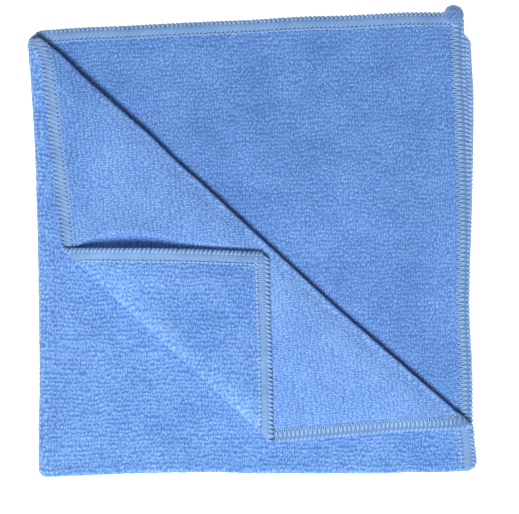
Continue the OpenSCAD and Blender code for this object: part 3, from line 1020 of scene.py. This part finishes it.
# ---------------------------------------------------------------- bodies and declarations

BODY = {"bottom": "base", "lower_inner": "base", "upper_inner": "page", "top": "page", "flap": "flap",
        "tip": "tip"}
# The two bodies that each bending crease joins, and the heights between which it turns
BENDS = {
    "left_outer": ("base", "page", Z_PLY[0] + 1.3, Z_PLY[3] - 1.3),
    "left_inner": ("base", "page", Z_PLY[1] + 1.2, Z_PLY[2] - 1.2),
    "flap": ("page", "flap", Z_PLY[3] + 1.2, Z_PLY[3] + PITCH - 1.1),
    "tip": ("flap", "tip", Z_PLY[3] + PITCH + 1.35, Z_PLY[3] + 2 * PITCH - 1.1),
}
RIGID_CREASES = {"lower_bottom": "base", "upper_bottom": "page"}


def attach(obj, crease):
    """Rides on one body, or, for a crease that bends, has its placing baked into its mesh."""
    if crease in BENDS:
        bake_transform(obj)
    else:
        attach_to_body(obj, RIGID_CREASES[crease])


def declare(cloth, threads, knot):
    for key, obj in cloth.items():
        name = key.replace("_panel", "").replace("_fold", "").replace("_under", "")
        if key.endswith("_fold"):
            attach(obj, name)
        else:
            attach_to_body(obj, BODY[name])
        if key != "upper_inner_under":
            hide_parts(key, *(["corner_fold"] if key == "left_outer_fold" else []))
    for key, obj in threads.items():
        place = key.replace("_edge_turn", "")
        if key.endswith("_edge_turn"):
            attach(obj, place.replace("_top", "").replace("_side", ""))
        else:
            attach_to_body(obj, BODY[key.rsplit("_", 2)[0]])
        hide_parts(key)
    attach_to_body(knot, "page")
    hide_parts("corner_thread_knot")


def cut_size(net):
    """Width, length and area, in metres, of the flat cloth that a net covers: the smallest rectangle
    round it, square to the cloth or along a diagonal crease."""
    best = None
    for x, y in ((1, 0), TIP_D, FLAP_D):
        across, along = net.points @ (x, y), net.points @ (-y, x)
        size = (np.ptp(across) * MM, np.ptp(along) * MM)
        if best is None or size[0] * size[1] < best[0] * best[1]:
            best = size
    area = 0.0
    for f in net.faces:
        p = net.points[list(f)]
        q = np.roll(p, -1, axis=0)
        area += abs((p[:, 0] * q[:, 1] - p[:, 1] * q[:, 0]).sum()) / 2
    return best, area * MM ** 2


# ---------------------------------------------------------------- stage, camera and light

def make_stage():
    bpy.ops.mesh.primitive_plane_add(size=3.0, location=(0, 0, 0))
    floor = bpy.context.object
    floor.name = "floor"
    material = bpy.data.materials.new("pale_floor")
    give(nodes_of(material)[1], {"Base Color": (0.85, 0.85, 0.85, 1), "Roughness": 0.8,
                                 "Emission Color": (1, 1, 1, 1), "Emission Strength": 1.0})
    floor.data.materials.append(material)


VIEW_W = 236.1            # width of what the camera sees, at the height of the plies
VIEW_Z = 10.0             # that height
VIEW_SHIFT = (2.2, -7.4)  # where the middle of the view is from the middle of the cloth
VIEW_TURN = math.radians(-1.1)


def make_camera():
    """Straight above the cloth, turned a little about the line of sight."""
    low, high = (mm(c) for c in cad_box)
    data = bpy.data.cameras.new("camera")
    data.lens = 85
    data.sensor_width = 36
    camera = placed("camera", data)
    distance = VIEW_W * data.lens / data.sensor_width + VIEW_Z
    centre = (low + high) / 2
    camera.location = ((centre[0] + VIEW_SHIFT[0]) * MM, (centre[1] + VIEW_SHIFT[1]) * MM, distance * MM)
    camera.rotation_euler = (0, 0, VIEW_TURN)
    bpy.context.scene.camera = camera


def area_light(name, azimuth, elevation, distance, size, power):
    """A square soft light, aimed at the cloth. Azimuth 0 is up the page and 90 is to its right."""
    data = bpy.data.lights.new(name, "AREA")
    data.size = size
    data.energy = power
    light = placed(name, data)
    az, el = math.radians(azimuth), math.radians(elevation)
    light.location = (distance * math.cos(el) * math.sin(az), distance * math.cos(el) * math.cos(az),
                      distance * math.sin(el))
    light.rotation_euler = (math.pi / 2 - el, 0, math.pi - az)


def make_light():
    world = bpy.data.worlds.new("studio")
    world.use_nodes = True
    world.node_tree.nodes["Background"].inputs[0].default_value = (1, 1, 1, 1)
    world.node_tree.nodes["Background"].inputs[1].default_value = 0.20
    bpy.context.scene.world = world
    area_light("key", 188, 60, 1.25, 0.40, 17.8)
    bpy.context.scene.view_settings.view_transform = "Standard"


make_camera()
make_light()
make_stage()
cloth, sizes = make_cloth()
threads = make_threads()
knot = make_knot()
declare(cloth, threads, knot)
